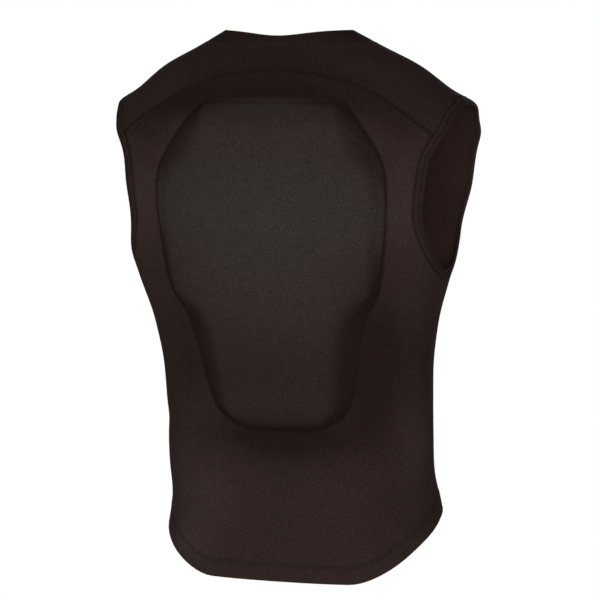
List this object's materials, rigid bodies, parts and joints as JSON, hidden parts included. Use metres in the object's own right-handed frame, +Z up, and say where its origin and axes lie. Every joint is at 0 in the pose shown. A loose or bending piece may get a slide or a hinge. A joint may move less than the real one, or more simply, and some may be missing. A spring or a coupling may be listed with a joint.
{
  "type": "protective jersey",
  "caption": "Sleeveless stretch vest worn on the upper body, with a back protector under a moulded cover, a yoke over the shoulders, bound neck and armholes and a dropped tail.",
  "frame": {"origin": "midway between the two high shoulder points, where the neck seam crosses the shoulders", "axes": "+Z up, the front of the jersey towards -Y, +X towards the wearer's left"},
  "size_m": [0.441, 0.254, 0.6607],
  "materials": {
    "yoke_cloth": "matte black stretch knit",
    "panel_cloth": "matte black stretch knit",
    "cover_cloth": "matte black stretch knit, brushed",
    "band_cloth": "matte black doubled binding",
    "pad_foam": "matte closed-cell foam"
  },
  "bodies": {
    "root": {"shoulder_yoke": "yoke_cloth", "back_panel": "panel_cloth", "protector_cover": "cover_cloth", "protector_pad": "pad_foam", "front_panel": "panel_cloth", "neckband": "band_cloth", "armhole_band_left": "band_cloth", "armhole_band_right": "band_cloth"}
  },
  "joints": []
}
